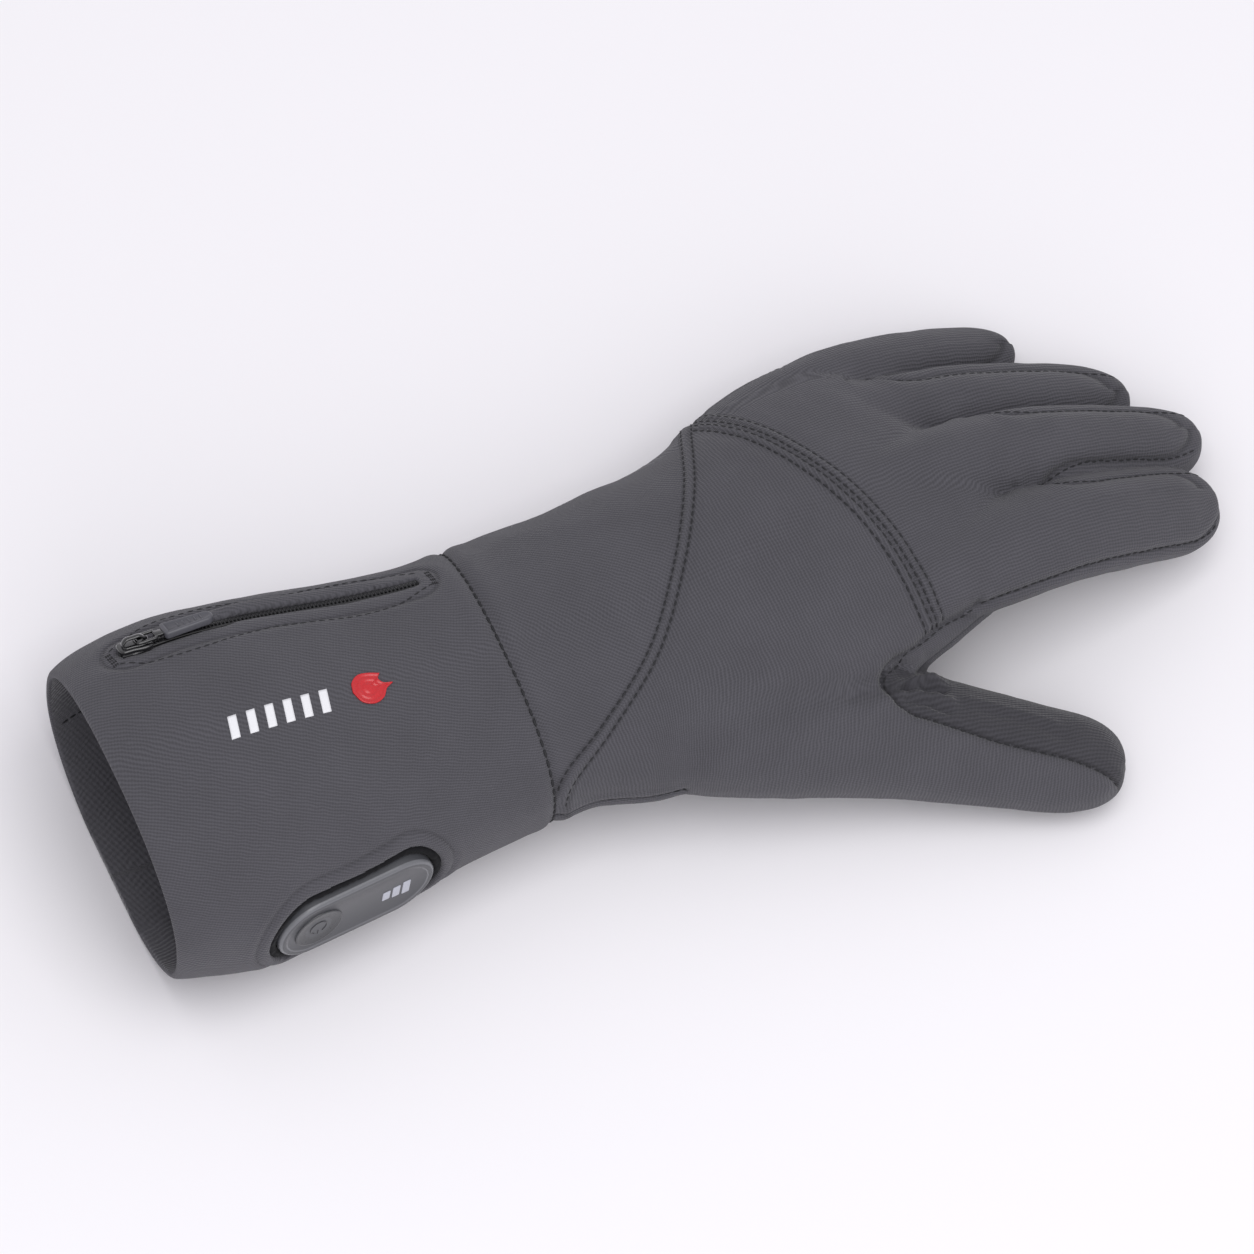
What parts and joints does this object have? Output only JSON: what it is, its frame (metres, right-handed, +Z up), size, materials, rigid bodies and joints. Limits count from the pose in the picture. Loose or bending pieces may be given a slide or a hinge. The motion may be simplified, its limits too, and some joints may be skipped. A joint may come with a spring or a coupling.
{
  "type": "heated glove",
  "caption": "Grey soft-shell heated liner glove for the left hand, palm down, with a zipped battery pocket and a push-button control unit with indicator lights on its flared cuff.",
  "frame": {"origin": "on the floor under the middle of the glove's bounding box", "axes": "+X from the cuff's hem to the fingertips, +Y to the little finger's side, +Z up out of the back of the hand"},
  "size_m": [0.333, 0.15, 0.0688],
  "materials": {
    "shell_cloth": "matt fine-ribbed stretch shell bonded to brushed fleece",
    "ribbed_cloth": "darker matt ribbed stretch knit",
    "zip_tape": "matt woven tape",
    "zip_coil": "fine nylon coil",
    "zip_metal": "glossy black coat",
    "tab_rubber": "satin moulded",
    "collar_cloth": "dense black mesh",
    "unit_plastic": "semi-gloss moulded shell with a polished bevel",
    "button_rubber": "smooth dished membrane",
    "light_lens": "milky diffuser, unlit",
    "mark_print": "raised red transfer print",
    "white_print": "raised white transfer print"
  },
  "bodies": {
    "glove": {"cuff": "shell_cloth", "wrist_panel": "shell_cloth", "back_panel": "shell_cloth", "finger_panel": "shell_cloth", "palm_panel": "shell_cloth", "thumb_panel": "ribbed_cloth", "zip_tape": "zip_tape", "zip_coil": "zip_coil", "zip_slider": "zip_metal", "unit_collar": "collar_cloth", "unit_body": "unit_plastic", "unit_button": "button_rubber", "unit_light_1": "light_lens", "unit_light_2": "light_lens", "unit_light_3": "light_lens", "heat_mark": "mark_print", "print_bar_1": "white_print", "print_bar_2": "white_print", "print_bar_3": "white_print", "print_bar_4": "white_print", "print_bar_5": "white_print", "print_bar_6": "white_print"},
    "zip_pull": {"zip_link": "zip_metal", "zip_tab": "tab_rubber"}
  },
  "joints": [
    {"name": "zip_pull_hinge", "type": "hinge", "parent": "glove", "child": "zip_pull", "pos_m": [-0.14458, 0.04522, 0.06253], "axis": [0.0111, -0.878, 0.4786], "range_deg": [0, 150]}
  ]
}
